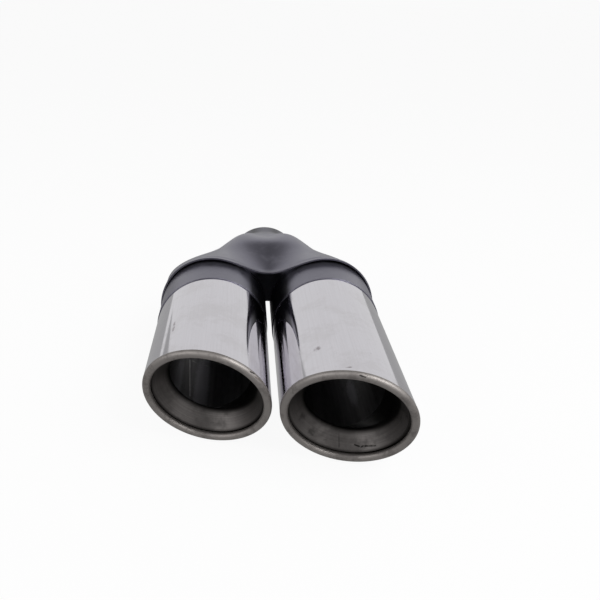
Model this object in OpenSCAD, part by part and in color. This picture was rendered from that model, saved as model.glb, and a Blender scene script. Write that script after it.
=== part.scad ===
// Twin-outlet exhaust Y-pipe: two slash-cut double-walled tubes on a pressed Y collector.
// Lengths are millimetres. The outlets face -Y, the round inlet faces +Y and Z is up.
// The origin is the centre of the inlet's mouth.

/* [Outlet tubes] */
// Outside diameter of each polished sleeve
outlet_d = 76; // [60:0.5:90]
// Gap between the two polished sleeves
tube_gap = 4; // [2.5:0.5:12]
// Wall of the polished sleeve
sleeve_wall = 1.2; // [0.8:0.1:2]
// Length from the paint line to the slanted cut, midway between the tubes
cut_length = 102; // [90:1:140]
// Sideways sweep of the cut, which makes the right tube the longer one
cut_sweep = 16.5; // [0:0.5:22]
// Rake of the cut, top edge forward
cut_rake = 19.3; // [0:0.1:25]

/* [Rolled rims and liners] */
// Diameter of the rolled bead around each mouth
bead_d = 5; // [3:0.1:6]
// Depth from the cut to the end of the tapered liner, on the tube's centre line
liner_depth = 32; // [26:1:45]
// Wall of the tapered liner
liner_wall = 1.2; // [0.8:0.1:2]
// Width of the rounded shoulder between the liner's cone and the inner pipe
liner_roll = 2.5; // [2:0.5:10]
// Bore of each inner pipe
inner_bore_d = 54.6; // [48:0.2:58]
// Wall of each inner pipe
inner_wall = 1.2; // [0.8:0.1:2]
// How far each inner pipe runs past the paint line into its collar
inner_tail = 30; // [24:1:36]

/* [Collars] */
// Height by which the painted collar stands proud of the polished sleeve
collar_step = 0.4; // [0.2:0.1:1]
// Wall of the painted collar
collar_wall = 1.5; // [1:0.1:2.5]
// How far the collar runs on behind the sides of the collector's lip
collar_lap = 3.1; // [2:0.1:10]
// Length of the sleeve's reduced tail inside the collar
spigot_length = 20; // [12:1:24]
// Width of the ring that centres the inner pipe in the sleeve
spacer_width = 10; // [6:1:12]

/* [Collector] */
// Wall of the pressed collector shells
shell_wall = 1.2; // [0.8:0.1:2]
// Height of the upper shell over a collar's crown
crown_lift = 0.5; // [0.3:0.1:2]
// Height of the upper shell's valley over the tube centres, at the lip
valley_height = 28.5; // [24:0.5:32]
// Distance from the paint line to the lip, midway between the tubes
lip_setback = 26.5; // [20:0.1:32]
// Rise of the arched crest behind the lip, in the middle of the valley
crest_rise = 8.3; // [0:0.1:12]
// How much further back the lip lies in the middle of the valley
lip_notch = 5.5; // [0:0.5:8]
// How much further back the lip lies for each outlet radius squared sideways
lip_sweep = 1.9; // [0:0.1:3.6]
// Rise of the turned-up lip
lip_flare = 2; // [0:0.1:4]
// Length over which the lip turns up
lip_flare_length = 9; // [4:0.5:10]
// Length of the collector between the collars' rear ends and the round neck
loft_length = 96; // [80:1:130]
// Length of the straight round neck at the collector's rear
neck_length = 10; // [8:1:30]
// How far behind the collars the sides start to draw in
narrow_delay = 41; // [20:1:60]
// How far behind the collars the groove between the lower lobes starts to deepen
groove_delay = 12; // [5:1:30]
// Fullness of the shoulders between the lobes and the neck
shoulder_fill = 5.4; // [0:0.1:9]
// Height of the crotch between the tubes, over the tube centres
crotch_rise = 4.8; // [2:0.1:8]
// Thickness of the closing plate in the crotch
crotch_plate_t = 1.5; // [1:0.1:2]

/* [Inlet] */
// Bore of the inlet pipe
inlet_bore_d = 51.8; // [44:0.2:60]
// Wall of the inlet pipe
inlet_wall = 1.2; // [1:0.1:2]
// How far the inlet pipe's front end stays behind the front of the neck
inlet_margin = 1; // [0:0.5:4]
// Length of the inlet pipe that shows behind the neck
inlet_reveal = 3; // [1:0.5:20]

/* [Hidden] */

// Running values that follow from the sizes above
slip = 0.05;
seat = 0.15;
outlet_r = outlet_d / 2;
tube_spacing = outlet_d + tube_gap;
half_spacing = tube_spacing / 2;
left_x = -half_spacing;
right_x = half_spacing;
bead_r = bead_d / 2;
collar_r = outlet_r + collar_step;
collar_bore_r = collar_r - collar_wall;
spigot_r = collar_bore_r - slip;
spigot_bore_r = spigot_r - sleeve_wall;
inner_bore_r = inner_bore_d / 2;
inner_r = inner_bore_r + inner_wall;
inlet_r = inlet_bore_d / 2 + inlet_wall;
neck_r = inlet_r + seat + shell_wall;
shell_side_r = collar_r + seat + shell_wall;
shell_crown_r = shell_side_r + crown_lift;
lip_side_y = lip_setback + lip_sweep * pow((half_spacing + shell_side_r) / outlet_r, 2);
collar_length = lip_side_y + collar_lap;
neck_front = collar_length + loft_length;
collector_rear = neck_front + neck_length;
inlet_rear = collector_rear + inlet_reveal;
tube_fn = 128;
overrun = 200;

// The slanted cut is one plane across both tubes: y = -cut_length + cut_a x + cut_b z
cut_a = -tan(cut_sweep);
cut_b = -tan(cut_rake) / cos(cut_sweep);
cut_normal = [cut_a, -1, cut_b] / norm([cut_a, -1, cut_b]);
function cut_y(x, z) = -cut_length + cut_a * x + cut_b * z;
liner_rear_left = cut_y(left_x, 0) + liner_depth;
liner_rear_right = cut_y(right_x, 0) + liner_depth;

// The sleeve's edge and the liner's flange seat behind the bead. The sleeve's clearance is measured
// square to the cut, and the flange's is stretched to run along the tube.
sleeve_edge = bead_r + slip;
flange_front = (bead_r + slip) * norm([cut_a, -1, cut_b]);

function ease(t) = let(k = min(1, max(0, t))) k * k * (3 - 2 * k);
function mix(p, q, t) = p * (1 - t) + q * t;
function unit(v) = v / norm(v);

// A tube along Y from y0 to y1
module tube(r_out, r_in, y0, y1) {
    translate([0, y0, 0])
        rotate([-90, 0, 0])
            difference() {
                cylinder(h = y1 - y0, r = r_out, $fn = tube_fn);
                translate([0, 0, -1])
                    cylinder(h = y1 - y0 + 2, r = r_in, $fn = tube_fn);
            }
}

// Everything in front of the slanted cut, moved back square to the cut by the given distance
module ahead_of_cut(back) {
    translate([0, -cut_length, 0])
        rotate([cut_rake, 0, -cut_sweep])
            translate([-overrun, back - overrun, -overrun])
                cube([2 * overrun, overrun, 2 * overrun]);
}

// Puts a piece built from the paint line into the part's own frame
module placed() {
    translate([0, -inlet_rear, 0]) children();
}

// A straight tube with a reduced tail that enters the collar, cut off slanted in front
module sleeve(x) {
    color([0.80, 0.80, 0.82])
        placed()
            difference() {
                translate([x, 0, 0])
                    rotate([90, 0, 0])
                        rotate_extrude($fn = tube_fn)
                            polygon([[spigot_bore_r, -spigot_length], [spigot_r, -spigot_length],
                                     [spigot_r, 0], [outlet_r, 0],
                                     [outlet_r, overrun], [outlet_r - sleeve_wall, overrun],
                                     [outlet_r - sleeve_wall, sleeve_wall],
                                     [spigot_bore_r, sleeve_wall]]);
                ahead_of_cut(sleeve_edge);
            }
}

// Triangles between ring j and ring j + 1 of closed rings with n points each
function band(n, j, j2) = [
    for (i = [0:n - 1])
        let(a = j * n + i, b = j * n + (i + 1) % n, c = j2 * n + (i + 1) % n, d = j2 * n + i)
            each [[a, b, c], [a, c, d]]];

// A bead swept along the slanted ellipse in which the cut meets the tube
rim_steps = 60;
bead_steps = 10;
function rim_point(x, phi, psi) =
    let(r = outlet_r - bead_r,
        px = x + r * cos(phi),
        pz = r * sin(phi),
        along = unit([-sin(phi), cut_b * cos(phi) - cut_a * sin(phi), cos(phi)]),
        outward = cross(cut_normal, along))
    [px, cut_y(px, pz), pz] + bead_r * (cos(psi) * outward + sin(psi) * cut_normal);

module rim(x) {
    rings = [
        for (i = [0:rim_steps - 1])
            for (j = [0:bead_steps - 1])
                rim_point(x, i * 360 / rim_steps, j * 360 / bead_steps)];
    faces = [for (i = [0:rim_steps - 1]) each band(bead_steps, i, (i + 1) % rim_steps)];
    color([0.60, 0.57, 0.53])
        placed()
            polyhedron(points = rings, faces = faces, convexity = 4);
}

// The liner's wall section: radius, whether it follows the cut (1) or the pipe (0), and the
// distance behind the cut or behind the liner's rear end
liner_steps = 54;
roll_steps = 4;
cone_front_r = outlet_r - 2 * bead_r;
shoulder_rise = 1;
cone_rear_r = inner_bore_r + shoulder_rise;
flange_r = outlet_r - sleeve_wall - 0.4;
liner_section = concat(
    [[flange_r, 1, flange_front], [cone_front_r, 1, flange_front]],
    [for (k = [0:roll_steps])
        [cone_rear_r - shoulder_rise * sin(90 * k / roll_steps), 0,
         -liner_roll * cos(90 * k / roll_steps)]],
    [[inner_r, 0, 0], [cone_rear_r + liner_wall, 0, -liner_roll + liner_wall / 2],
     [cone_front_r + liner_wall, 1, flange_front + liner_wall],
     [flange_r, 1, flange_front + liner_wall]]);

module liner(x, rear) {
    n = len(liner_section);
    rings = [
        for (i = [0:liner_steps - 1])
            for (s = liner_section)
                let(phi = i * 360 / liner_steps, px = x + s[0] * cos(phi), pz = s[0] * sin(phi))
                    [px, s[1] == 1 ? cut_y(px, pz) + s[2] : rear + s[2], pz]];
    faces = [for (i = [0:liner_steps - 1]) each band(n, i, (i + 1) % liner_steps)];
    color([0.45, 0.43, 0.41])
        placed()
            polyhedron(points = rings, faces = faces, convexity = 6);
}

// A plain pipe from the liner back into the collar
module inner_pipe(x, front) {
    color([0.20, 0.19, 0.19])
        placed()
            translate([x, 0, 0])
                tube(inner_r, inner_bore_r, front, inner_tail);
}

// A flanged ring that centres the inner pipe in the sleeve's tail
module spacer_ring(x) {
    ring_wall = 1.2;
    ring_front = spigot_length - spacer_width - 2;
    color([0.35, 0.34, 0.34])
        placed()
            translate([x, ring_front, 0])
                rotate([-90, 0, 0])
                    rotate_extrude($fn = tube_fn)
                        polygon([[inner_r + slip, 0], [spigot_bore_r - slip, 0],
                                 [spigot_bore_r - slip, spacer_width],
                                 [spigot_bore_r - slip - ring_wall, spacer_width],
                                 [spigot_bore_r - slip - ring_wall, ring_wall],
                                 [inner_r + slip, ring_wall]]);
}

// The painted collar holds the sleeve's tail in front and enters the collector behind
module collar(x) {
    color([0.16, 0.16, 0.18])
        placed()
            translate([x, 0, 0])
                tube(collar_r, collar_bore_r, 0, collar_length);
}

// Outlines of the shells run from the side seam (q = 0) to the middle (q = 1). At the lip the
// upper one is an arch over each collar that dips to a valley; at the neck both are round.
arch_share = 0.5;
valley_power = 1.64;
function arch_angle(q) = 90 * min(1, q / arch_share);
function from_middle(q) = 1 - max(0, q - arch_share) / (1 - arch_share);
function arch_x(q, g) = q < arch_share
    ? half_spacing + (shell_side_r - g) * cos(arch_angle(q))
    : half_spacing * from_middle(q);
function web_z(t) = mix(valley_height, shell_crown_r, pow(sin(90 * t), valley_power));
function arch_z(q, g) = q < arch_share
    ? (shell_crown_r - g) * sin(arch_angle(q))
    : web_z(from_middle(q)) - g;
function neck_x(q, g) = (neck_r - g) * cos(90 * q);
function neck_z(q, g) = (neck_r - g) * sin(90 * q);

// Shares of the way from the lip's outline to the neck's: sideways, upwards and for the groove
function share(y, start) = ease((y - start) / (neck_front - start));
narrow_power = 1.6;
sink_power = 0.5;
function narrow(y) = pow(share(y, collar_length + narrow_delay), narrow_power);
function sink(y) = pow(share(y, collar_length), sink_power);
function groove(y) = share(y, collar_length + groove_delay);
function lip_y(q) = lip_setback + lip_sweep * pow(arch_x(q, 0) / outlet_r, 2)
    + lip_notch * pow(1 - from_middle(q), 2);
flare_low = 0.6;
function flare(q, y) = lip_flare * sin(arch_angle(q)) * mix(flare_low, 1, sin(90 * from_middle(q)))
    * pow(max(0, 1 - (y - lip_y(q)) / lip_flare_length), 2);

// The shoulders stand fuller than the straight mix, most of all towards the neck
fill_start = 0.4;
fill_power = 1.9;
function way(y) = min(1, max(0, (y - collar_length) / loft_length));
function fill(q, y) = shoulder_fill * pow(sin(180 * max(0, q - fill_start) / (1 - fill_start)), 2)
    * pow(sin(180 * pow(way(y), fill_power)), 2);

// Behind the lip the middle of the valley swells to an arched crest and falls again to the neck
crest_start = 0.44;
crest_power = 0.74;
crest_front = collar_length - 4;
function crest_way(y) = min(1, max(0, (y - crest_front) / (neck_front - crest_front)));
function crest(q, y) = crest_rise * ease((q - crest_start) / (1 - crest_start))
    * pow(sin(180 * pow(crest_way(y), crest_power)), 2);

row_power = 1.4;
function upper_point(side, q, v, g) =
    let(y = mix(lip_y(q), collector_rear, pow(v, row_power)))
    [side * mix(arch_x(q, g), neck_x(q, g), narrow(y)),
     y,
     mix(arch_z(q, g), neck_z(q, g), sink(y)) + flare(q, y) + fill(q, y) + crest(q, y)];

// The lower outline wraps the outer half of each collar. Towards the crotch its front edge draws
// back behind the collar and its radius falls to the collar's own, so the tubes' gap stays open.
lobe_share = 0.9;
lobe_end = 180 + asin((crotch_rise - shell_wall / 2) / collar_r);
tongue = 4;
function round_lobe(q) = min(1, q / lobe_share);
butt_start = 0.5;
butt_span = 0.16;
fall_start = 0.7;
fall_span = 0.14;
function butt(q) = ease((round_lobe(q) - butt_start) / butt_span);
function lobe_r(q) = mix(shell_side_r, collar_r, ease((round_lobe(q) - fall_start) / fall_span));
function ridge(q) = max(0, q - lobe_share) / (1 - lobe_share);
function lobe_x(q, g) = (half_spacing + (lobe_r(q) - g) * cos(lobe_end * round_lobe(q))) * (1 - ridge(q));
function lobe_z(q, g) = mix(-(lobe_r(q) - g) * sin(lobe_end * round_lobe(q)), g + crotch_rise, ridge(q));
function lower_front(q) = mix(lip_side_y - tongue * sin(180 * round_lobe(q)), collar_length + seat, butt(q));

function lower_point(side, q, v, g) =
    let(y = mix(lower_front(q), collector_rear, v))
    [side * mix(lobe_x(q, g), neck_x(q, g), narrow(y)),
     y,
     mix(lobe_z(q, g), -neck_z(q, g), groove(y))];

// A shell with a wall: an outer and an inner grid of points, joined along the four edges
function sheet(nu, nv, start, flip) = [
    for (j = [0:nv - 1])
        for (i = [0:nu - 1])
            let(a = start + j * (nu + 1) + i, b = a + 1, c = a + nu + 2, d = a + nu + 1)
                each flip ? [[a, c, b], [a, d, c]] : [[a, b, c], [a, c, d]]];
function edge_loop(nu, nv) = concat(
    [for (i = [0:nu - 1]) i],
    [for (j = [0:nv - 1]) j * (nu + 1) + nu],
    [for (i = [nu:-1:1]) nv * (nu + 1) + i],
    [for (j = [nv:-1:1]) j * (nu + 1)]);
function edge_faces(loop, n, flip) = [
    for (k = [0:len(loop) - 1])
        let(a = loop[k], b = loop[(k + 1) % len(loop)])
            each flip ? [[a, b, b + n], [a, b + n, a + n]] : [[a, b + n, b], [a, a + n, b + n]]];

function across(i, nu) = 1 - abs(1 - 2 * i / nu);
function side_of(i, nu) = i < nu / 2 ? 1 : -1;

upper_u = 52;
upper_v = 18;
module upper_shell() {
    skin = [
        for (g = [0, shell_wall])
            for (j = [0:upper_v])
                for (i = [0:upper_u])
                    upper_point(side_of(i, upper_u), across(i, upper_u), j / upper_v, g)];
    n = (upper_u + 1) * (upper_v + 1);
    faces = concat(sheet(upper_u, upper_v, 0, false), sheet(upper_u, upper_v, n, true),
                   edge_faces(edge_loop(upper_u, upper_v), n, false));
    color([0.18, 0.18, 0.20])
        placed()
            polyhedron(points = skin, faces = faces, convexity = 6);
}

lower_u = 48;
lower_v = 14;
module lower_shell() {
    skin = [
        for (g = [0, shell_wall])
            for (j = [0:lower_v])
                for (i = [0:lower_u])
                    lower_point(side_of(i, lower_u), across(i, lower_u), j / lower_v, g)];
    n = (lower_u + 1) * (lower_v + 1);
    faces = concat(sheet(lower_u, lower_v, 0, true), sheet(lower_u, lower_v, n, false),
                   edge_faces(edge_loop(lower_u, lower_v), n, true));
    color([0.15, 0.15, 0.17])
        placed()
            polyhedron(points = skin, faces = faces, convexity = 6);
}

// Closes the gap between the two collars, from the upper shell's valley down to the crotch
plate_half = 0.5;
plate_gap = 0.3;
plate_steps = 12;
module crotch_plate() {
    top = [
        for (k = [-plate_steps:plate_steps])
            [half_spacing * plate_half * k / plate_steps,
             web_z(plate_half * abs(k) / plate_steps) - shell_wall - plate_gap]];
    color([0.10, 0.10, 0.11])
        placed()
            translate([0, collar_length, 0])
                rotate([90, 0, 0])
                    linear_extrude(height = crotch_plate_t)
                        difference() {
                            polygon(concat(top, [[half_spacing * plate_half, crotch_rise],
                                                 [-half_spacing * plate_half, crotch_rise]]));
                            for (x = [left_x, right_x])
                                translate([x, 0])
                                    circle(r = collar_r + slip, $fn = tube_fn);
                        }
}

// The round pipe that slips over the car's own tail pipe
module inlet_pipe() {
    color([0.14, 0.14, 0.15])
        placed()
            tube(inlet_r, inlet_bore_d / 2, neck_front + inlet_margin, inlet_rear);
}

module left_sleeve() sleeve(left_x);
module right_sleeve() sleeve(right_x);
module left_rim() rim(left_x);
module right_rim() rim(right_x);
module left_liner() liner(left_x, liner_rear_left);
module right_liner() liner(right_x, liner_rear_right);
module left_inner_pipe() inner_pipe(left_x, liner_rear_left);
module right_inner_pipe() inner_pipe(right_x, liner_rear_right);
module left_spacer_ring() spacer_ring(left_x);
module right_spacer_ring() spacer_ring(right_x);
module left_collar() collar(left_x);
module right_collar() collar(right_x);

left_sleeve();
right_sleeve();
left_rim();
right_rim();
left_liner();
right_liner();
left_inner_pipe();
right_inner_pipe();
left_spacer_ring();
right_spacer_ring();
left_collar();
right_collar();
crotch_plate();
upper_shell();
lower_shell();
inlet_pipe();
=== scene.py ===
import math

import bpy
import mathutils
import numpy as np
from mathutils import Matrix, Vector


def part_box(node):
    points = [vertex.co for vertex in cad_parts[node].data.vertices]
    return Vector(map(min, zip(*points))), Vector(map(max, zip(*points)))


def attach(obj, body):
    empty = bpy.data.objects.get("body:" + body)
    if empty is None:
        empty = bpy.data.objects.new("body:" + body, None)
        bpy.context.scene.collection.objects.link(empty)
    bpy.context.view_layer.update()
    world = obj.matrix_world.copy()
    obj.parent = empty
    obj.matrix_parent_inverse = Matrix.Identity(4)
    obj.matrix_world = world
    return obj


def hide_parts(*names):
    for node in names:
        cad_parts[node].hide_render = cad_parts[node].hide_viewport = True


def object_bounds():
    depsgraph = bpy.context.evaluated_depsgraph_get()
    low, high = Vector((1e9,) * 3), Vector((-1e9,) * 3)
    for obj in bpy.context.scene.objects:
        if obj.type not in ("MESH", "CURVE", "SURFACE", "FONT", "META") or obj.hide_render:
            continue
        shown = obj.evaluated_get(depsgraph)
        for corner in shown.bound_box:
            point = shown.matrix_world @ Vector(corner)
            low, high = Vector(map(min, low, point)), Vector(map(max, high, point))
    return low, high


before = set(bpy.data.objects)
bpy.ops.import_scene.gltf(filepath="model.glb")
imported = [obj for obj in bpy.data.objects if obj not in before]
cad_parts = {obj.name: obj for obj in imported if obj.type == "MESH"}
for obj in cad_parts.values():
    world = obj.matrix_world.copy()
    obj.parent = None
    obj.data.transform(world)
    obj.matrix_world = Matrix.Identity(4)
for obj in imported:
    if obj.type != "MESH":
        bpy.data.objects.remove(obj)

cad_low, cad_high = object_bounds()

# The tubes run along Y with their mouths at its low end, and Z is up. All sizes are in metres.

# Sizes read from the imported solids
sleeve_low, sleeve_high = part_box("left_sleeve")
collar_low, collar_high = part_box("left_collar")
pipe_low, pipe_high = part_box("left_inner_pipe")
inlet_low, inlet_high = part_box("inlet_pipe")
HALF_SPACING = -(sleeve_low.x + sleeve_high.x) / 2
TUBE_Z = (sleeve_low.z + sleeve_high.z) / 2
OUTLET_R = (sleeve_high.x - sleeve_low.x) / 2
COLLAR_R = (collar_high.x - collar_low.x) / 2
INNER_R = (pipe_high.x - pipe_low.x) / 2
INLET_R = (inlet_high.x - inlet_low.x) / 2
PAINT_Y = collar_low.y
COLLAR_REAR_Y = collar_high.y
SHELL_REAR_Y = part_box("upper_shell")[1].y
SIDES = {"left": -HALF_SPACING, "right": HALF_SPACING}

# Sheet gauges
SLEEVE_WALL = 0.0012
LINER_WALL = 0.0012
INNER_WALL = 0.0012
COLLAR_WALL = 0.0015
SHELL_WALL = 0.0012
INLET_WALL = 0.0012

# A sliding fit, a welded seat, and how far the shells' and beads' skin lies inside the solids
SLIP = 0.00005
SEAT = 0.00015
SKIN = 0.0001

# The slanted cut across both tubes: y = PAINT_Y - CUT_LENGTH + CUT_A x + CUT_B z
CUT_LENGTH = 0.102
CUT_SWEEP = math.radians(16.5)
CUT_RAKE = math.radians(19.3)
CUT_A = -math.tan(CUT_SWEEP)
CUT_B = -math.tan(CUT_RAKE) / math.cos(CUT_SWEEP)
CUT_NORMAL = np.array([CUT_A, -1.0, CUT_B]) / math.sqrt(CUT_A ** 2 + 1 + CUT_B ** 2)

# Sleeves and beads: a sleeve's front edge hides just behind its bead's widest line
BEAD_R = 0.0025
SLEEVE_FRONT = BEAD_R * 0.25
SLEEVE_SKIN = SKIN * 1.6
SPIGOT_LENGTH = 0.020

# Liners: depths run along Y from the cut. The edge is where a liner's straight walls would meet,
# and the throat turns between two places given as shares of those walls.
LINER_FRONT = BEAD_R + 2 * SLIP
LINER_DEPTH = 0.032
THROAT_R = 0.0257
THROAT_DEPTH = 0.0146
THROAT_SHIFT = (0.0035, 0.0044)
THROAT_EDGE_DEPTH = THROAT_DEPTH + 0.0012
THROAT_SKIN_DEPTH = THROAT_DEPTH + 0.002
THROAT_TURN = (0.8, 0.16)
FLANGE_GAP = 0.0004

# Upper shell: lip, valley, shoulders and crest
SHELL_SIDE_R = COLLAR_R + SEAT + SHELL_WALL
SHELL_CROWN_R = SHELL_SIDE_R + 0.0005
NECK_R = INLET_R + SEAT + SHELL_WALL
NECK_FRONT_Y = SHELL_REAR_Y - 0.010
ARCH_SHARE = 0.5
VALLEY_HEIGHT = 0.0285
VALLEY_POWER = 1.64
LIP_SETBACK = 0.0265
LIP_SWEEP = 0.0019
LIP_NOTCH = 0.0055
LIP_FLARE = 0.002
LIP_FLARE_LOW = 0.6
LIP_FLARE_LENGTH = 0.009
NARROW_DELAY = 0.041
NARROW_POWER = 1.6
SINK_POWER = 0.5
SHOULDER_FILL = 0.0054
FILL_START = 0.4
FILL_POWER = 1.9
CREST_RISE = 0.0098
CREST_FOOT_Y = COLLAR_REAR_Y - 0.001
CREST_TOP_Y = COLLAR_REAR_Y + 0.040
CREST_START = 0.44
CREST_SLOPE_POWER = 1.15
CREST_BEND = 1400.0
ROW_POWER = 1.4

# Lower shell: how far its front laps the collars, its groove, and its edge under the crotch
LIP_SIDE_Y = COLLAR_REAR_Y - 0.0031
TONGUE = 0.004
GROOVE_DELAY = 0.012
CROTCH_RISE = 0.0048
LOBE_SHARE = 0.9
LOBE_END = math.pi + math.asin((CROTCH_RISE - SHELL_WALL / 2) / COLLAR_R)
CLOSE_START, CLOSE_SPAN = 0.7, 0.14
DRAW_START, DRAW_SPAN = 0.5, 0.16

# Mesh steps and the rounding of the tubes' edges
ROUND_STEPS = 288
BEAD_STEPS = 32
SHELL_ACROSS = 241
SHELL_ALONG = 120
EDGE_STEPS = 4
EDGE_ROUND = 0.0003
EDGE_MOST = 0.45
HOLD_MOST = 0.2
PHI = np.linspace(0, 2 * math.pi, ROUND_STEPS, endpoint=False)


def cut_y(x, z):
    """Where the slanted cut lies along Y: a plane in x and z."""
    return PAINT_Y - CUT_LENGTH + CUT_A * x + CUT_B * z


def ease(t):
    """Smooth step: 3 k^2 - 2 k^3, with k held between 0 and 1."""
    k = np.clip(t, 0.0, 1.0)
    return k * k * (3 - 2 * k)


def mix(p, q, t):
    """Straight mix: p (1 - t) + q t."""
    return p * (1 - t) + q * t


def turn(a, corner, b, t):
    """A parabola from a to b that keeps to both lines through the corner:
    (1 - t)^2 a + 2 t (1 - t) corner + t^2 b."""
    return (1 - t) ** 2 * a + 2 * t * (1 - t) * corner + t ** 2 * b


def grid_faces(rows, columns, loop_columns):
    """Quads over a grid of points whose last row joins its first, and whose columns may too. They
    face the way of the step to the next column crossed with the step to the next row."""
    i, j = np.meshgrid(np.arange(rows), np.arange(columns if loop_columns else columns - 1), indexing="ij")
    i2, j2 = (i + 1) % rows, (j + 1) % columns
    quads = np.stack([i * columns + j, i * columns + j2, i2 * columns + j2, i2 * columns + j], -1)
    return quads.reshape(-1, 4)


def stand_in(name, mesh, material, node):
    """Shows a mesh, riding on the root, in place of a CAD node."""
    mesh.materials.clear()
    mesh.materials.append(material)
    piece = bpy.data.objects.new(name, mesh)
    bpy.context.scene.collection.objects.link(piece)
    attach(piece, "root")
    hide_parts(node)


def new_piece(name, points, quads, material, node, sharp=40.0):
    """One smooth mesh from arrays of points and quads, with edges above an angle kept sharp."""
    mesh = bpy.data.meshes.new(name)
    mesh.from_pydata(points.reshape(-1, 3), [], quads.tolist())
    mesh.update()
    mesh.shade_smooth()
    mesh.set_sharp_from_angle(angle=math.radians(sharp))
    stand_in(name, mesh, material, node)


def dressed_copy(node, material):
    """A copy of a small CAD piece with its own material."""
    stand_in(node + "_dressed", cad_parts[node].data.copy(), material, node)


def rounded(profile):
    """A closed profile with each corner turned between a place on either side of it, and one
    more ring beyond each place, which keeps the straight stretches flat."""
    p = np.asarray(profile, float)
    ends, holds = [], []
    for way in (np.roll(p, 1, 0) - p, np.roll(p, -1, 0) - p):
        length = np.linalg.norm(way[:, :2], axis=1)[:, None]
        end = p + way * (np.minimum(EDGE_ROUND, EDGE_MOST * length) / length)
        ends.append(end[:, None])
        holds.append((end + way * np.minimum(HOLD_MOST, 2 * EDGE_ROUND / length))[:, None])
    t = np.linspace(0, 1, EDGE_STEPS + 1)[None, :, None]
    corners = turn(ends[0], p[:, None], ends[1], t)
    return np.concatenate([holds[0], corners, holds[1]], 1).reshape(-1, p.shape[1])


def ring(x, r, y, slant, shift=(0.0, 0.0), phi=PHI):
    """A ring about a tube's axis: r (cos phi, sin phi) in x and z, and y + slant cut_y(x, z)."""
    px = x + shift[0] + r * np.cos(phi)
    pz = shift[1] + r * np.sin(phi)
    return np.stack([px, y + slant * cut_y(px, pz), pz], -1)


def tube_piece(name, x, profile, material, node):
    """A wall profile carried round a tube's axis, given anticlockwise with the radius to the right
    and y upwards. Each of its points is radius, y, and how far y follows the slanted cut."""
    r, y, slant = rounded(profile).T
    points = ring(x, r, y, slant, phi=PHI[:, None])
    new_piece(name, points, grid_faces(*points.shape[:2], True), material, node)


def plain_tube(name, x, outer_r, wall, front, rear, material, node):
    """A straight tube with square ends and rounded edges."""
    bore = outer_r - wall
    profile = [(outer_r, front, 0), (outer_r, rear, 0), (bore, rear, 0), (bore, front, 0)]
    tube_piece(name, x, profile, material, node)


def make_sleeve(side, material):
    """Straight polished tube with its reduced tail, its front edge under the bead."""
    outer_r, inner_r = OUTLET_R - SLEEVE_SKIN, OUTLET_R - SLEEVE_WALL
    spigot_r = COLLAR_R - COLLAR_WALL - SLIP
    spigot_bore = spigot_r - SLEEVE_WALL
    tail_y = PAINT_Y + SPIGOT_LENGTH
    profile = [
        (outer_r, SLEEVE_FRONT, 1), (outer_r, PAINT_Y, 0), (spigot_r, PAINT_Y, 0), (spigot_r, tail_y, 0),
        (spigot_bore, tail_y, 0), (spigot_bore, PAINT_Y - SLEEVE_WALL, 0),
        (inner_r, PAINT_Y - SLEEVE_WALL, 0), (inner_r, SLEEVE_FRONT, 1)]
    tube_piece(side + "_sleeve_tube", SIDES[side], profile, material, side + "_sleeve")


def make_collar(side, material):
    """Painted tube behind the sleeve."""
    plain_tube(side + "_collar_tube", SIDES[side], COLLAR_R, COLLAR_WALL, PAINT_Y, COLLAR_REAR_Y,
               material, side + "_collar")


def make_inner_pipe(side, material):
    """Dark pipe from the liner back into the collar."""
    low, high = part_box(side + "_inner_pipe")
    plain_tube(side + "_inner_tube", SIDES[side], INNER_R, INNER_WALL, low.y, high.y,
               material, side + "_inner_pipe")


def make_inlet(material):
    """The round inlet pipe inside the neck."""
    plain_tube("inlet_tube", 0.0, INLET_R, INLET_WALL, inlet_low.y, inlet_high.y, material, "inlet_pipe")


def make_rim(side, material):
    """A bead swept along the slanted ellipse: path p(phi) on the cut plane at radius R - r, plus
    r (cos psi outward - sin psi normal), where outward lies in the plane and across the path."""
    path = ring(SIDES[side], OUTLET_R - BEAD_R, 0.0, 1)
    along = np.stack([-np.sin(PHI), CUT_B * np.cos(PHI) - CUT_A * np.sin(PHI), np.cos(PHI)], -1)
    along /= np.linalg.norm(along, axis=1)[:, None]
    outward = np.cross(along, CUT_NORMAL)
    psi = np.linspace(0, 2 * math.pi, BEAD_STEPS, endpoint=False)[None, :, None]
    bead = np.cos(psi) * outward[:, None] - np.sin(psi) * CUT_NORMAL
    points = path[:, None] + (BEAD_R - SKIN) * bead
    new_piece(side + "_rim_bead", points, grid_faces(ROUND_STEPS, BEAD_STEPS, True), material, side + "_rim")


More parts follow.
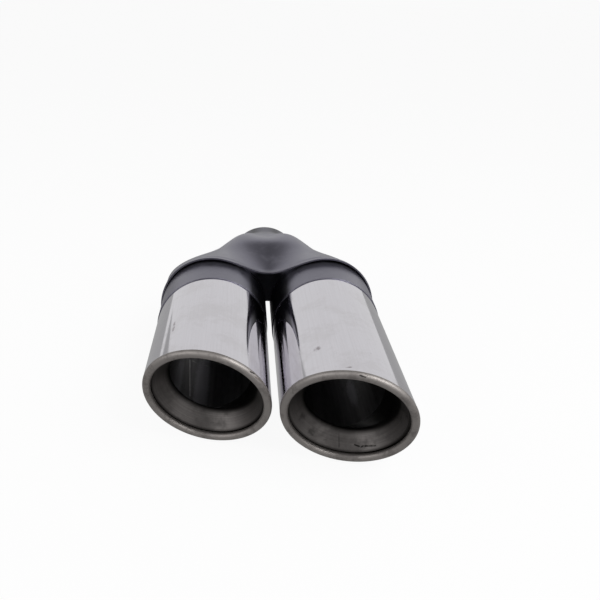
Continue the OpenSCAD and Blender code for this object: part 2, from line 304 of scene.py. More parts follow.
def make_liner(side, material):
    """A funnel pressed square to the slanted mouth. Its rings are mixed evenly from behind the bead
    towards the throat's edge, turn there, and are mixed on to the inner pipe's front end. An outer
    skin lies one wall further out."""
    x = SIDES[side]
    rear = cut_y(x, 0.0) + LINER_DEPTH
    mouth_r = OUTLET_R - 2 * BEAD_R
    flange_r = OUTLET_R - SLEEVE_WALL - FLANGE_GAP
    flange_back = LINER_FRONT + LINER_WALL
    mouth = ring(x, mouth_r, LINER_FRONT, 1)
    edge = ring(x, THROAT_R, THROAT_EDGE_DEPTH, 1, THROAT_SHIFT)
    pipe = ring(x, INNER_R - INNER_WALL, rear, 0)
    before, after = mix(mouth, edge, THROAT_TURN[0]), mix(edge, pipe, THROAT_TURN[1])
    inside = [mix(mouth, before, t) for t in np.linspace(0, 1, 10)[:-1]]
    inside += [turn(before, edge, after, t) for t in np.linspace(0, 1, 12)]
    inside += [mix(after, pipe, t) for t in np.linspace(0, 1, 8)[1:]]
    outside = [
        ring(x, flange_r, LINER_FRONT, 1), ring(x, flange_r, flange_back, 1),
        ring(x, mouth_r + LINER_WALL, flange_back, 1),
        ring(x, THROAT_R + LINER_WALL, THROAT_SKIN_DEPTH, 1, THROAT_SHIFT), ring(x, INNER_R, rear, 0)]
    points = np.stack(outside + inside[::-1], 1)
    new_piece(side + "_liner_funnel", points, grid_faces(*points.shape[:2], True), material,
              side + "_liner", sharp=50.0)


def from_middle(q):
    """1 on the arch, falling evenly to 0 at the middle."""
    return 1 - np.maximum(0, q - ARCH_SHARE) / (1 - ARCH_SHARE)


def arch_angle(q):
    """A quarter turn over the arch's share of q."""
    return math.pi / 2 * np.minimum(1, q / ARCH_SHARE)


def upper_outline(q, g):
    """The arch over one collar, an ellipse quarter from the seam to the crown, then the valley:
    z = valley + (crown - valley) sin(90 t)^power, with t falling from 1 at the crown to 0."""
    arc = q < ARCH_SHARE
    over_collar = HALF_SPACING + (SHELL_SIDE_R - g) * np.cos(arch_angle(q))
    x = np.where(arc, over_collar, HALF_SPACING * from_middle(q))
    web = mix(VALLEY_HEIGHT, SHELL_CROWN_R, np.sin(math.pi / 2 * from_middle(q)) ** VALLEY_POWER) - g
    return x, np.where(arc, (SHELL_CROWN_R - g) * np.sin(arch_angle(q)), web)


def neck_outline(q, g):
    """A quarter circle."""
    return (NECK_R - g) * np.cos(math.pi / 2 * q), (NECK_R - g) * np.sin(math.pi / 2 * q)


def lip_y(q):
    """The lip runs back with the square of its distance from the middle, and again towards the
    middle of the valley: setback + sweep (x / R)^2 + notch (1 - t)^2."""
    swept = LIP_SWEEP * (upper_outline(q, 0)[0] / OUTLET_R) ** 2
    return PAINT_Y + LIP_SETBACK + swept + LIP_NOTCH * (1 - from_middle(q)) ** 2


def share(y, delay, power=1.0):
    """How far the shape has changed from the lip's outline to the neck's: ease(t)^power."""
    start = COLLAR_REAR_Y + delay
    return ease((y - start) / (NECK_FRONT_Y - start)) ** power


def crest(y):
    """The crest along the middle: a slope up from the lip and a cosine fall to the neck, blended
    where they meet by -log(exp(-k a) + exp(-k b)) / k."""
    slope = np.maximum(0, (y - CREST_FOOT_Y) / (CREST_TOP_Y - CREST_FOOT_Y)) ** CREST_SLOPE_POWER
    fall = np.cos(math.pi / 2 * np.clip((y - CREST_TOP_Y) / (NECK_FRONT_Y - CREST_TOP_Y), 0, 1)) ** 2
    both = np.exp(-CREST_BEND * (CREST_RISE * slope)) + np.exp(-CREST_BEND * (CREST_RISE * fall))
    return np.maximum(0, -np.log(both) / CREST_BEND)


def upper_surface(s, v, g):
    """The upper shell: s from -1 to 1 across, v from 0 at the lip to 1 at the rear, g into the wall.
    Each point is mixed between the lip's outline and the neck's circle. The lip turns up by
    flare (1 - d / length)^2, the shoulders rise by fill sin^2(180 a) sin^2(180 b^power), and the
    middle swells behind the lip by crest(y) ease(a)."""
    q = 1 - np.abs(s)
    start = lip_y(q)
    y = mix(start, SHELL_REAR_Y, v ** ROW_POWER)
    arch, neck = upper_outline(q, g), neck_outline(q, g)
    way = np.clip((y - COLLAR_REAR_Y) / (NECK_FRONT_Y - COLLAR_REAR_Y), 0, 1)
    shoulder = np.sin(math.pi * np.maximum(0, q - FILL_START) / (1 - FILL_START)) ** 2
    lift = SHOULDER_FILL * shoulder * np.sin(math.pi * way ** FILL_POWER) ** 2
    flare = LIP_FLARE * np.sin(arch_angle(q)) * mix(LIP_FLARE_LOW, 1, np.sin(math.pi / 2 * from_middle(q)))
    lift = lift + flare * np.maximum(0, 1 - (y - start) / LIP_FLARE_LENGTH) ** 2
    lift = lift + crest(y) * ease((q - CREST_START) / (1 - CREST_START))
    x = mix(arch[0], neck[0], share(y, NARROW_DELAY, NARROW_POWER))
    return np.stack([np.sign(s) * x, y, mix(arch[1], neck[1], share(y, 0.0, SINK_POWER)) + lift], -1)


def lower_outline(q, g):
    """The arc round the underside of one collar, whose radius falls to the collar's own towards
    the crotch, then a straight ridge to the middle."""
    lobe = np.minimum(1, q / LOBE_SHARE)
    r = mix(SHELL_SIDE_R, COLLAR_R, ease((lobe - CLOSE_START) / CLOSE_SPAN)) - g
    t = np.maximum(0, q - LOBE_SHARE) / (1 - LOBE_SHARE)
    x = (HALF_SPACING + r * np.cos(LOBE_END * lobe)) * (1 - t)
    return x, mix(-r * np.sin(LOBE_END * lobe), g + CROTCH_RISE, t)


def lower_surface(s, v, g):
    """The lower shell: mixed like the upper one, with a groove that deepens towards the neck and
    a front edge that draws back behind the collars at the crotch."""
    q = 1 - np.abs(s)
    lobe = np.minimum(1, q / LOBE_SHARE)
    front = LIP_SIDE_Y - TONGUE * np.sin(math.pi * lobe)
    start = mix(front, COLLAR_REAR_Y + SEAT, ease((lobe - DRAW_START) / DRAW_SPAN))
    y = mix(start, SHELL_REAR_Y, v)
    arc, neck = lower_outline(q, g), neck_outline(q, g)
    x = mix(arc[0], neck[0], share(y, NARROW_DELAY, NARROW_POWER))
    return np.stack([np.sign(s) * x, y, mix(arc[1], -neck[1], share(y, GROOVE_DELAY))], -1)


def make_shell(name, node, surface, way_across, material):
    """A pressed shell: an outer and an inner sheet of the same surface, one wall apart, closed at
    the lip and the rear by joined rows and along both side seams by quads between the sheets. The
    way across is 1 to the right on the upper shell and -1 on the lower one, so both face out."""
    s, v = np.meshgrid(way_across * np.linspace(-1, 1, SHELL_ACROSS), np.linspace(0, 1, SHELL_ALONG))
    points = np.concatenate([surface(s, v, SKIN), surface(s, v, SHELL_WALL)[::-1]])
    rows = 2 * SHELL_ALONG
    k = np.arange(SHELL_ALONG - 1)
    seam = np.stack([k, k + 1, rows - 2 - k, rows - 1 - k], -1) * SHELL_ACROSS
    other_seam = (seam + SHELL_ACROSS - 1)[:, ::-1]
    quads = np.concatenate([grid_faces(rows, SHELL_ACROSS, False), seam, other_seam])
    new_piece(name, points, quads, material, node, sharp=35.0)


def principled(name, color, metallic, roughness):
    """A material with one Principled shader; returns the material, its nodes and the shader."""
    material = bpy.data.materials.new(name)
    material.use_nodes = True
    shader = material.node_tree.nodes["Principled BSDF"]
    shader.inputs["Base Color"].default_value = (*color, 1)
    shader.inputs["Metallic"].default_value = metallic
    shader.inputs["Roughness"].default_value = roughness
    return material, material.node_tree, shader


def add(tree, kind, **settings):
    """A node with its settings; numbers or links for its inputs are given by wire()."""
    item = tree.nodes.new(kind)
    for key, value in settings.items():
        setattr(item, key, value)
    return item


def wire(tree, item, values):
    """Sets each input, by index or name, to a constant or links a socket to it."""
    for key, value in values.items():
        if isinstance(value, bpy.types.NodeSocket):
            tree.links.new(value, item.inputs[key])
        else:
            item.inputs[key].default_value = value
    return item


def math_node(tree, operation, first, second=0.0, clamp=False):
    """One operation on two numbers."""
    item = add(tree, "ShaderNodeMath", operation=operation, use_clamp=clamp)
    return wire(tree, item, {0: first, 1: second}).outputs[0]


def times(tree, first, second):
    """A product."""
    return math_node(tree, "MULTIPLY", first, second)


def vector_node(tree, operation, values):
    """One operation on vectors; returns a number for a dot product or a length, and else a vector."""
    item = wire(tree, add(tree, "ShaderNodeVectorMath", operation=operation), values)
    return item.outputs["Value" if operation in ("DOT_PRODUCT", "LENGTH") else "Vector"]


def axes(tree, vector):
    """The three numbers of a vector."""
    return wire(tree, add(tree, "ShaderNodeSeparateXYZ"), {0: vector}).outputs


def ramp_value(tree, value, low, high, out_low=0.0, out_high=1.0):
    """A smooth step of a value from low..high to out_low..out_high."""
    item = add(tree, "ShaderNodeMapRange", interpolation_type="SMOOTHSTEP")
    wire(tree, item, {"Value": value, "From Min": low, "From Max": high})
    return wire(tree, item, {"To Min": out_low, "To Max": out_high}).outputs["Result"]


def noise(tree, vector, scale, detail=3.0, rough=0.5):
    """Even noise; its scale is in waves a metre where the vector is the part's own place."""
    item = add(tree, "ShaderNodeTexNoise")
    wire(tree, item, {"Vector": vector, "Scale": scale, "Detail": detail, "Roughness": rough})
    return item.outputs["Fac"]


def stretched(tree, vector, scale):
    """Coordinates through a Mapping node with one scale for each axis."""
    return wire(tree, add(tree, "ShaderNodeMapping"), {"Vector": vector, "Scale": scale}).outputs[0]


def blend_color(tree, factor, first, second):
    """A mix of two colours, each a socket or three numbers."""
    first, second = [(*color, 1) if isinstance(color, tuple) else color for color in (first, second)]
    item = add(tree, "ShaderNodeMix", data_type="RGBA")
    return wire(tree, item, {0: factor, 6: first, 7: second}).outputs[2]


def mix_value(tree, factor, first, second):
    """A mix of two numbers."""
    item = add(tree, "ShaderNodeMix", data_type="FLOAT")
    return wire(tree, item, {0: factor, 2: first, 3: second}).outputs[0]


def stained(tree, color, mask, tone, strength=1.0):
    """A colour with a tone over it where a mask lies, if there is one, at some strength."""
    if mask is None:
        return color
    return blend_color(tree, mask if strength == 1.0 else times(tree, mask, strength), color, tone)


def place(tree):
    """Object coordinates, which are the part's own metres."""
    return add(tree, "ShaderNodeTexCoord").outputs["Object"]


def largest(tree, masks):
    """The largest of several masks, or none of none."""
    total = masks[0] if masks else None
    for mask in masks[1:]:
        total = math_node(tree, "MAXIMUM", total, mask)
    return total


def use(tree, name, values):
    """An instance of a node group with its inputs set; returns its outputs."""
    return wire(tree, add(tree, "ShaderNodeGroup", node_tree=bpy.data.node_groups[name]), values).outputs


VECTOR = ("Vector", "NodeSocketVector", (0, 0, 0))


def new_group(name, inputs, outputs):
    """A new shader node group that puts out values; returns its tree, its inputs and its last node."""
    tree = bpy.data.node_groups.new(name, "ShaderNodeTree")
    for label, kind, value in inputs:
        tree.interface.new_socket(name=label, in_out="INPUT", socket_type=kind).default_value = value
    for label in outputs:
        tree.interface.new_socket(name=label, in_out="OUTPUT", socket_type="NodeSocketFloat")
    return tree, tree.nodes.new("NodeGroupInput").outputs, tree.nodes.new("NodeGroupOutput")


def make_brushed_lines():
    """Lines along the tubes: noise drawn out along Y, once fine and once broad."""
    tree, given, last = new_group("BrushedLines", [VECTOR], ["Fine", "Broad"])
    fine = noise(tree, stretched(tree, given["Vector"], (1700, 22, 1700)), 1.0, 3.0, 0.6)
    broad = noise(tree, stretched(tree, given["Vector"], (260, 9, 260)), 1.0, 2.0, 0.5)
    wire(tree, last, {"Fine": ramp_value(tree, fine, 0.32, 0.68), "Broad": ramp_value(tree, broad, 0.3, 0.7)})


def make_smudges():
    """Smudges: three parts of a large noise and one part of a small one, cut off low."""
    tree, given, last = new_group("Smudges", [VECTOR, ("Scale", "NodeSocketFloat", 60.0)], ["Mask"])
    big = noise(tree, given["Vector"], given["Scale"], 5.0, 0.62)
    small = noise(tree, given["Vector"], times(tree, given["Scale"], 6.0), 4.0, 0.6)
    both = math_node(tree, "ADD", times(tree, big, 0.75), times(tree, small, 0.25))
    wire(tree, last, {"Mask": ramp_value(tree, both, 0.46, 0.62)})


def make_soft_spot():
    """A soft spot: the distance from its centre in its own radii, made uneven by noise."""
    sockets = [VECTOR, ("Center", "NodeSocketVector", (0, 0, 0)), ("Radii", "NodeSocketVector", (1, 1, 1))]
    tree, given, last = new_group("SoftSpot", sockets, ["Mask"])
    away = vector_node(tree, "SUBTRACT", {0: given["Vector"], 1: given["Center"]})
    size = vector_node(tree, "LENGTH", {0: vector_node(tree, "DIVIDE", {0: away, 1: given["Radii"]})})
    wobble = times(tree, noise(tree, given["Vector"], 900.0, 2.0), 0.7)
    wire(tree, last, {"Mask": ramp_value(tree, math_node(tree, "ADD", size, wobble), 0.8, 1.5, 1.0, 0.0)})


def make_cut_depth():
    """How far behind the slanted cut a place lies, along Y."""
    tree, given, last = new_group("CutDepth", [VECTOR], ["Depth"])
    slanted = vector_node(tree, "DOT_PRODUCT", {0: given["Vector"], 1: (-CUT_A, 1.0, -CUT_B)})
    wire(tree, last, {"Depth": math_node(tree, "SUBTRACT", slanted, PAINT_Y - CUT_LENGTH)})


def make_round_brushing():
    """Brushing that runs round a mouth: noise that changes fast with the depth behind the cut."""
    tree, given, last = new_group("RoundBrushing", [VECTOR], ["Fine"])
    depth = use(tree, "CutDepth", {"Vector": given["Vector"]})[0]
    wide = axes(tree, stretched(tree, given["Vector"], (35, 35, 35)))
    joined = add(tree, "ShaderNodeCombineXYZ")
    wire(tree, joined, {0: wide["X"], 1: times(tree, depth, 1400.0), 2: wide["Z"]})
    fine = noise(tree, joined.outputs[0], 1.0, 3.0, 0.55)
    wire(tree, last, {"Fine": ramp_value(tree, fine, 0.36, 0.64)})


def make_line_mark():
    """A thin line: the distance to the nearest place on it in its own widths, made uneven by noise."""
    sockets = [VECTOR, ("Start", "NodeSocketVector", (0, 0, 0)), ("Reach", "NodeSocketVector", (0, 0, 1)),
               ("Width", "NodeSocketFloat", 0.001)]
    tree, given, last = new_group("LineMark", sockets, ["Mask"])
    away = vector_node(tree, "SUBTRACT", {0: given["Vector"], 1: given["Start"]})
    along = vector_node(tree, "DOT_PRODUCT", {0: away, 1: given["Reach"]})
    whole = vector_node(tree, "DOT_PRODUCT", {0: given["Reach"], 1: given["Reach"]})
    part = math_node(tree, "DIVIDE", along, whole, True)
    foot = vector_node(tree, "SCALE", {0: given["Reach"], "Scale": part})
    size = vector_node(tree, "LENGTH", {0: vector_node(tree, "SUBTRACT", {0: away, 1: foot})})
    wobble = times(tree, noise(tree, given["Vector"], 500.0, 2.0), 0.8)
    size = math_node(tree, "ADD", math_node(tree, "DIVIDE", size, given["Width"]), wobble)
    wire(tree, last, {"Mask": ramp_value(tree, size, 0.5, 1.5, 1.0, 0.0)})


def bump(tree, shader, height, strength, distance):
    """A bump over the whole shader."""
    item = add(tree, "ShaderNodeBump")
    wire(tree, item, {"Height": height, "Strength": strength, "Distance": distance})
    wire(tree, shader, {"Normal": item.outputs[0]})


def from_paint(point):
    """A place given from the paint line, in the part's frame."""
    return (point[0], point[1] + PAINT_Y, point[2])


def spots(tree, vector, marks):
    """Soft spots, each from its centre and its three radii."""
    return largest(tree, [
        use(tree, "SoftSpot", {"Vector": vector, "Center": from_paint(center), "Radii": radii})[0]
        for center, radii in marks])


def thin_lines(tree, vector, marks, width):
    """Thin lines, each from its start along its reach."""
    even = {"Vector": vector, "Width": width}
    return largest(tree, [
        use(tree, "LineMark", {**even, "Start": from_paint(start), "Reach": reach})[0]
        for start, reach in marks])


# Marks in metres from the sleeves' paint line: centre, then radii
SLEEVE_MARKS = {
    "left": [((-0.0600, -0.0625, 0.0323), (0.0011, 0.0085, 0.0012))],
    "right": [((0.0228, -0.0945, 0.0339), (0.0026, 0.0030, 0.0026)),
              ((0.0371, -0.1222, 0.0379), (0.0022, 0.0008, 0.0020)),
              ((0.0518, -0.1038, 0.0361), (0.0006, 0.0007, 0.0008))]}
# Liner spots: painted shade on the darker side of each funnel, and one small dark blotch
LINER_SHADE_AND_BLOTCHES = {
    "left": [((-0.0650, -0.0760, -0.0105), (0.0040, 0.0050, 0.0060))],
    "right": [((0.0225, -0.0932, -0.0224), (0.0035, 0.0030, 0.0042)),
              ((0.0161, -0.0933, -0.0130), (0.0030, 0.0030, 0.0040)),
              ((0.0304, -0.0946, -0.0280), (0.0016, 0.0008, 0.0010))]}
# Pipe patches: painted light where the inside of each pipe catches light through the mouth
PIPE_LIGHT_PATCHES = {
    "left": [((-0.0465, -0.0300, -0.0265), (0.0060, 0.0450, 0.0060)),
             ((-0.0610, -0.0380, -0.0175), (0.0030, 0.0300, 0.0060))],
    "right": [((0.0530, -0.0480, -0.0235), (0.0035, 0.0180, 0.0040))]}

# Lines in the same way: start, then reach
RIM_LINES = {
    "left": [((-0.0147, -0.1083, 0.0275), (0.0022, 0.0007, -0.0016))],
    "right": [((0.0416, -0.1292, 0.0369), (0.0028, -0.0010, -0.0006))]}
RIM_SCRATCHES = {
    "left": [((-0.0121, -0.1085, 0.0243), (0.0033, 0.0012, -0.0033)),
             ((-0.0088, -0.1073, 0.0210), (0.0040, 0.0016, -0.0081))],
    "right": []}
# Right funnel: a faint seam, then two dark lines of painted shade along a crease
LINER_LINES = {
    "left": [],
    "right": [((0.0391, -0.0900, -0.0217), (-0.0004, -0.0075, -0.0095)),
              ((0.0604, -0.0980, -0.0155), (0.0069, -0.0071, 0.0082)),
              ((0.0673, -0.1051, -0.0073), (0.0045, -0.0139, 0.0119))]}
LINER_DIRT = {
    "left": [],
    "right": [((0.0477, -0.0990, -0.0286), (0.0026, -0.0017, -0.0001)),
              ((0.0513, -0.1013, -0.0287), (0.0011, -0.0001, 0.0008)),
              ((0.0535, -0.1020, -0.0275), (0.0053, -0.0034, 0.0026))]}
# Pipe lines: painted highlights, a lit streak down the left pipe and a lit arc at its far end
PIPE_HIGHLIGHT_LINES = {
    "left": [((-0.0561, -0.0055, -0.0220), (0.0031, -0.0444, -0.0020)),
             ((-0.0541, -0.0046, -0.0234), (0.0105, -0.0008, -0.0037))],
    "right": []}

# Depths behind the cut between which painted shade darkens a liner's throat, and the painted shadow
# line behind a bead fades
THROAT_SHADE_DEPTH = (0.0112, 0.0150)
BEAD_SHADOW_DEPTH = (0.0026, 0.0044)

# The painted shade between the tubes under the lip fades sideways and upwards between these places
SHADE_BETWEEN_X = (0.007, 0.023)
SHADE_BETWEEN_Z = (0.0262, 0.0300)


def sleeve_material(side):
    """Polished steel with fine lengthwise lines, smudges and a few dark marks."""
    material, tree, shader = principled(side + "_polished_steel", (0.74, 0.72, 0.76), 1.0, 0.14)
    vector = place(tree)
    lines = use(tree, "BrushedLines", {"Vector": vector})
    smudge = use(tree, "Smudges", {"Vector": vector, "Scale": 42.0})[0]
    broken = ramp_value(tree, noise(tree, vector, 420.0), 0.38, 0.62, 0.15, 0.75)
    color = stained(tree, (0.76, 0.745, 0.785), lines["Fine"], (0.66, 0.64, 0.67), 0.35)
    color = stained(tree, color, smudge, (0.64, 0.62, 0.64), 0.45)
    color = stained(tree, color, spots(tree, vector, SLEEVE_MARKS[side]), (0.24, 0.21, 0.22), broken)
    rough = math_node(tree, "ADD", times(tree, smudge, 0.05), times(tree, lines["Broad"], 0.025))
    wire(tree, shader, {"Base Color": color, "Roughness": math_node(tree, "ADD", rough, 0.05)})
    bump(tree, shader, lines["Fine"], 0.06, 0.00002)
    return material


def rim_material(side):
    """Satin steel, slightly warm, mottled by heat and handling, with a nick and scratches."""
    material, tree, shader = principled(side + "_satin_steel", (0.36, 0.34, 0.33), 1.0, 0.6)
    vector = place(tree)
    smudge = use(tree, "Smudges", {"Vector": vector, "Scale": 110.0})[0]
    nick = thin_lines(tree, vector, RIM_LINES[side], 0.0006)
    scratches = thin_lines(tree, vector, RIM_SCRATCHES[side], 0.0004)
    color = stained(tree, (0.37, 0.345, 0.33), smudge, (0.27, 0.25, 0.24))
    color = stained(tree, color, nick, (0.02, 0.018, 0.02))
    color = stained(tree, color, scratches, (0.14, 0.09, 0.06), 0.6)
    wire(tree, shader, {"Base Color": color, "Roughness": ramp_value(tree, smudge, 0.0, 1.0, 0.55, 0.66)})
    bump(tree, shader, noise(tree, vector, 1500.0, 2.0), 0.15, 0.00008)
    return material


def liner_material(side):
    """Dull steel with brushing round the mouth, painted shade towards the throat, a painted shadow
    behind the bead, spots of painted shade, a blotch, a seam, a crease's painted shade, and dirt."""
    material, tree, shader = principled(side + "_liner_steel", (0.15, 0.14, 0.135), 1.0, 0.5)
    vector = place(tree)
    depth = use(tree, "CutDepth", {"Vector": vector})[0]
    rings = use(tree, "RoundBrushing", {"Vector": vector})[0]
    dirt = use(tree, "Smudges", {"Vector": vector, "Scale": 45.0})[0]
    broken = ramp_value(tree, noise(tree, vector, 300.0), 0.35, 0.65, 0.1, 0.7)
    seam_and_crease_shade = thin_lines(tree, vector, LINER_LINES[side], 0.0005)
    crumbs = thin_lines(tree, vector, LINER_DIRT[side], 0.0007)
    color = stained(tree, (0.17, 0.158, 0.153), dirt, (0.10, 0.093, 0.09), 0.5)
    color = stained(tree, color, rings, (0.11, 0.102, 0.10), 0.5)
    # Painted shade on the darker side of each funnel, and a dark blotch
    color = stained(tree, color, spots(tree, vector, LINER_SHADE_AND_BLOTCHES[side]), (0.045, 0.042, 0.04), broken)
    # A dark seam, and painted shade along a crease
    color = stained(tree, color, seam_and_crease_shade, (0.03, 0.028, 0.027), 0.7)
    color = stained(tree, color, crumbs, (0.012, 0.011, 0.01))
    # Painted shade: near black deep in the throat and on into the pipe
    color = stained(tree, color, ramp_value(tree, depth, *THROAT_SHADE_DEPTH), (0.02, 0.019, 0.018), 0.92)
    color = stained(tree, color, ramp_value(tree, depth, *BEAD_SHADOW_DEPTH, 0.85, 0.0), (0.02, 0.018, 0.017))
    wire(tree, shader, {"Base Color": color, "Roughness": ramp_value(tree, dirt, 0.0, 1.0, 0.44, 0.56)})
    bump(tree, shader, rings, 0.12, 0.0001)
    return material


def pipe_material(side):
    """Heat-darkened steel with worn bands, painted highlights on a streak and an arc, and painted light
    patches.
    """
    material, tree, shader = principled(side + "_heat_dark_steel", (0.1, 0.095, 0.09), 1.0, 0.48)
    vector = place(tree)
    lines = use(tree, "BrushedLines", {"Vector": vector})
    painted_highlights = thin_lines(tree, vector, PIPE_HIGHLIGHT_LINES[side], 0.0005)
    color = stained(tree, (0.15, 0.144, 0.147), lines["Broad"], (0.27, 0.263, 0.27))
    # Painted light: lighter patches inside the pipe
    color = stained(tree, color, spots(tree, vector, PIPE_LIGHT_PATCHES[side]), (0.55, 0.54, 0.58), 0.6)
    # Painted highlights: near white streak and arc inside the pipe
    color = stained(tree, color, painted_highlights, (0.75, 0.74, 0.74))
    wire(tree, shader, {"Base Color": color})
    bump(tree, shader, lines["Fine"], 0.2, 0.00006)
    return material


def paint_material():
    """Dark semi-gloss coat on the pressings, with a little orange peel, rubbing, and painted shade
    between the tubes."""
    material, tree, shader = principled("black_paint", (0.085, 0.082, 0.095), 0.85, 0.34)
    vector = place(tree)
    rubbed = use(tree, "Smudges", {"Vector": vector, "Scale": 50.0})[0]
    across = math_node(tree, "ABSOLUTE", axes(tree, vector)["X"])
    sideways = ramp_value(tree, across, *SHADE_BETWEEN_X, 1.0, 0.0)
    upwards = ramp_value(tree, axes(tree, vector)["Z"], *SHADE_BETWEEN_Z, 1.0, 0.0)
    # Painted shade: near black between the tubes under the lip, where the crotch lies in shadow
    painted_shade_between = times(tree, sideways, upwards)
    color = stained(tree, (0.19, 0.185, 0.228), rubbed, (0.235, 0.23, 0.278))
    color = stained(tree, color, painted_shade_between, (0.006, 0.006, 0.008), 0.97)
    wire(tree, shader, {"Base Color": color, "Roughness": ramp_value(tree, rubbed, 0.0, 1.0, 0.3, 0.38)})
    bump(tree, shader, noise(tree, vector, 700.0, 2.0), 0.12, 0.00012)
    return material


# What the metal mirrors: a table that ends behind the object, walls with a panel as dark as the
# table on the left, a ceiling, and a dark part of it behind and above. Heights and closeness are
# of a unit direction.
TABLE_LEVEL = 0.38
WALL_LEVEL = 0.72
CEILING_LEVEL = 0.42
DARK_LEVEL = 0.03
TABLE_END_Y = (PAINT_Y + 0.86, PAINT_Y + 0.88)
PANEL_NORMAL = (0.819, 0.391, 0.421)
PANEL_EDGE = 0.006
CEILING_HEIGHT = (0.60, 0.78)
DARK_TOWARD = (0.0, 0.515, 0.857)
DARK_WIDENED = (0.45, 1.0, 1.0)
DARK_CLOSENESS = (0.905, 0.975)

# What the camera sees round the object
FLOOR_HALF = 60.0
FLOOR_Z = cad_low[2] - 0.0002
FLOOR_WHITE_SHARE = 0.93
BACKDROP_LEVEL = 0.957


def ray_mask(tree, names):
    """1 for rays of the named kinds, 0 for others."""
    path = add(tree, "ShaderNodeLightPath")
    return largest(tree, [path.outputs[name] for name in names])


def blend_shader(tree, factor, first, second):
    """A mix of the first outputs of two shader nodes."""
    item = add(tree, "ShaderNodeMixShader")
    return wire(tree, item, {0: factor, 1: first.outputs[0], 2: second.outputs[0]})


def make_floor():
    """A pale floor that the camera sees as near white, with the object's shadow on it. Metal sees
    the table there instead."""
    corners = [(-FLOOR_HALF, -FLOOR_HALF, FLOOR_Z), (FLOOR_HALF, -FLOOR_HALF, FLOOR_Z),
               (FLOOR_HALF, FLOOR_HALF, FLOOR_Z), (-FLOOR_HALF, FLOOR_HALF, FLOOR_Z)]
    mesh = bpy.data.meshes.new("floor")
    mesh.from_pydata(corners, [], [(0, 1, 2, 3)])
    floor = bpy.data.objects.new("floor", mesh)
    bpy.context.scene.collection.objects.link(floor)
    material, tree, shader = principled("pale_floor", (0.84, 0.84, 0.84), 0.0, 0.9)
    shader.inputs["Specular IOR Level"].default_value = 0.0
    mesh.materials.append(material)
    white = wire(tree, add(tree, "ShaderNodeEmission"), {"Strength": 1.0})
    level = ramp_value(tree, axes(tree, place(tree))["Y"], *TABLE_END_Y, TABLE_LEVEL, WALL_LEVEL)
    table = wire(tree, add(tree, "ShaderNodeEmission"), {"Strength": level})
    white_share = times(tree, ray_mask(tree, ["Is Camera Ray"]), FLOOR_WHITE_SHARE)
    mirrored = ray_mask(tree, ["Is Glossy Ray", "Is Transmission Ray"])
    seen = blend_shader(tree, white_share, shader, white)
    both = blend_shader(tree, mirrored, seen, table)
    wire(tree, tree.nodes["Material Output"], {"Surface": both.outputs[0]})


def make_world():
    """The studio: what the metal mirrors, and plain near white where the camera sees it."""
    world = bpy.data.worlds.new("studio")
    bpy.context.scene.world = world
    world.use_nodes = True
    tree = world.node_tree
    toward = add(tree, "ShaderNodeTexCoord").outputs["Generated"]
    height = axes(tree, toward)["Z"]
    panel = vector_node(tree, "DOT_PRODUCT", {0: toward, 1: PANEL_NORMAL})
    widened = vector_node(tree, "MULTIPLY", {0: toward, 1: DARK_WIDENED})
    widened = vector_node(tree, "NORMALIZE", {0: widened})
    closeness = vector_node(tree, "DOT_PRODUCT", {0: widened, 1: DARK_TOWARD})
    level = ramp_value(tree, panel, -PANEL_EDGE, PANEL_EDGE, TABLE_LEVEL, WALL_LEVEL)
    level = mix_value(tree, ramp_value(tree, height, *CEILING_HEIGHT), level, CEILING_LEVEL)
    level = mix_value(tree, ramp_value(tree, closeness, *DARK_CLOSENESS), level, DARK_LEVEL)
    studio = wire(tree, tree.nodes["Background"], {"Color": level})
    white = add(tree, "ShaderNodeBackground")
    wire(tree, white, {"Color": (1, 1, 1, 1), "Strength": BACKDROP_LEVEL})
    both = blend_shader(tree, ray_mask(tree, ["Is Camera Ray"]), studio, white)
    wire(tree, tree.nodes["World Output"], {"Surface": both.outputs[0]})


def make_lamp(name, lamp_place, size, power):
    """A square soft lamp that looks at the middle of the part."""
    data = bpy.data.lights.new(name, "AREA")
    data.size, data.energy = size, power
    lamp = bpy.data.objects.new(name, data)
    bpy.context.scene.collection.objects.link(lamp)
    toward = mathutils.Vector((0, -0.1, 0)) - mathutils.Vector(lamp_place)
    lamp.rotation_euler = toward.to_track_quat("-Z", "Y").to_euler()
    lamp.location = lamp_place


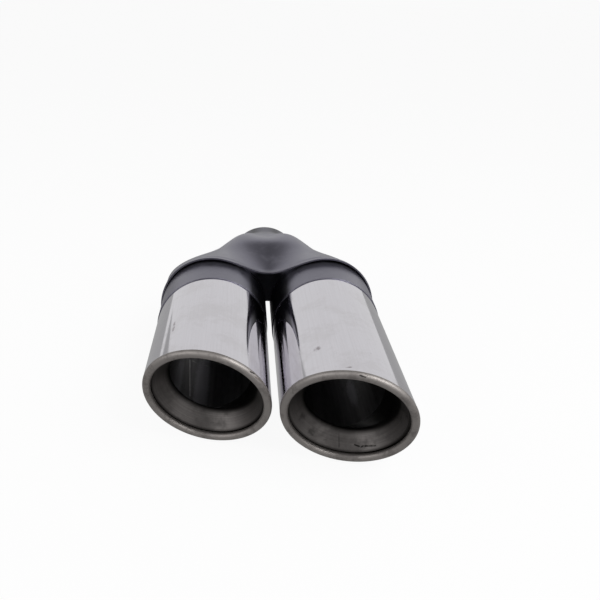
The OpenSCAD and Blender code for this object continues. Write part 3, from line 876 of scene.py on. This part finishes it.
# The photograph's pinhole camera, solved from the tubes' outlines: its place in outlet radii from
# the middle of the paint line, its angles in radians, and its focal length in pixels
CAMERA_PLACE = np.array([-0.48259, -11.31065, 5.61494]) * OUTLET_R + [0, PAINT_Y, TUBE_Z]
CAMERA_YAW, CAMERA_PITCH, CAMERA_ROLL = 0.090884, 0.417495, 0.037007
FOCAL_PIXELS, PHOTO_PIXELS = 677.369, 600
SENSOR_WIDTH = 36


def make_camera():
    """The photograph's view. Its axes come from the yaw and the pitch, and are then rolled."""
    cos_pitch = math.cos(CAMERA_PITCH)
    forward = np.array([math.sin(CAMERA_YAW) * cos_pitch, math.cos(CAMERA_YAW) * cos_pitch,
                        -math.sin(CAMERA_PITCH)])
    level = np.array([math.cos(CAMERA_YAW), -math.sin(CAMERA_YAW), 0])
    upright = np.cross(level, forward)
    right = math.cos(CAMERA_ROLL) * level + math.sin(CAMERA_ROLL) * upright
    up = -math.sin(CAMERA_ROLL) * level + math.cos(CAMERA_ROLL) * upright
    data = bpy.data.cameras.new("camera")
    data.sensor_width = SENSOR_WIDTH
    data.lens = SENSOR_WIDTH * FOCAL_PIXELS / PHOTO_PIXELS
    data.clip_start = 0.01
    camera = bpy.data.objects.new("camera", data)
    bpy.context.scene.collection.objects.link(camera)
    matrix = np.eye(4)
    matrix[:3] = np.stack([right, up, -forward, CAMERA_PLACE], 1)
    camera.matrix_world = mathutils.Matrix(matrix.tolist())
    bpy.context.scene.camera = camera


make_brushed_lines()
make_smudges()
make_soft_spot()
make_cut_depth()
make_round_brushing()
make_line_mark()

paint = paint_material()
for side in SIDES:
    dark_metal = pipe_material(side)
    make_sleeve(side, sleeve_material(side))
    make_rim(side, rim_material(side))
    make_liner(side, liner_material(side))
    make_inner_pipe(side, dark_metal)
    make_collar(side, paint)
    dressed_copy(side + "_spacer_ring", dark_metal)
make_inlet(paint)
make_shell("upper_pressing", "upper_shell", upper_surface, 1, paint)
make_shell("lower_pressing", "lower_shell", lower_surface, -1, paint)
dressed_copy("crotch_plate", paint)

make_floor()
make_world()
make_lamp("key", (0.6, -0.7, 1.0), 0.7, 10)
make_lamp("fill", (-0.9, -0.5, 0.6), 0.8, 3)
make_camera()
bpy.context.scene.view_settings.view_transform = "Standard"
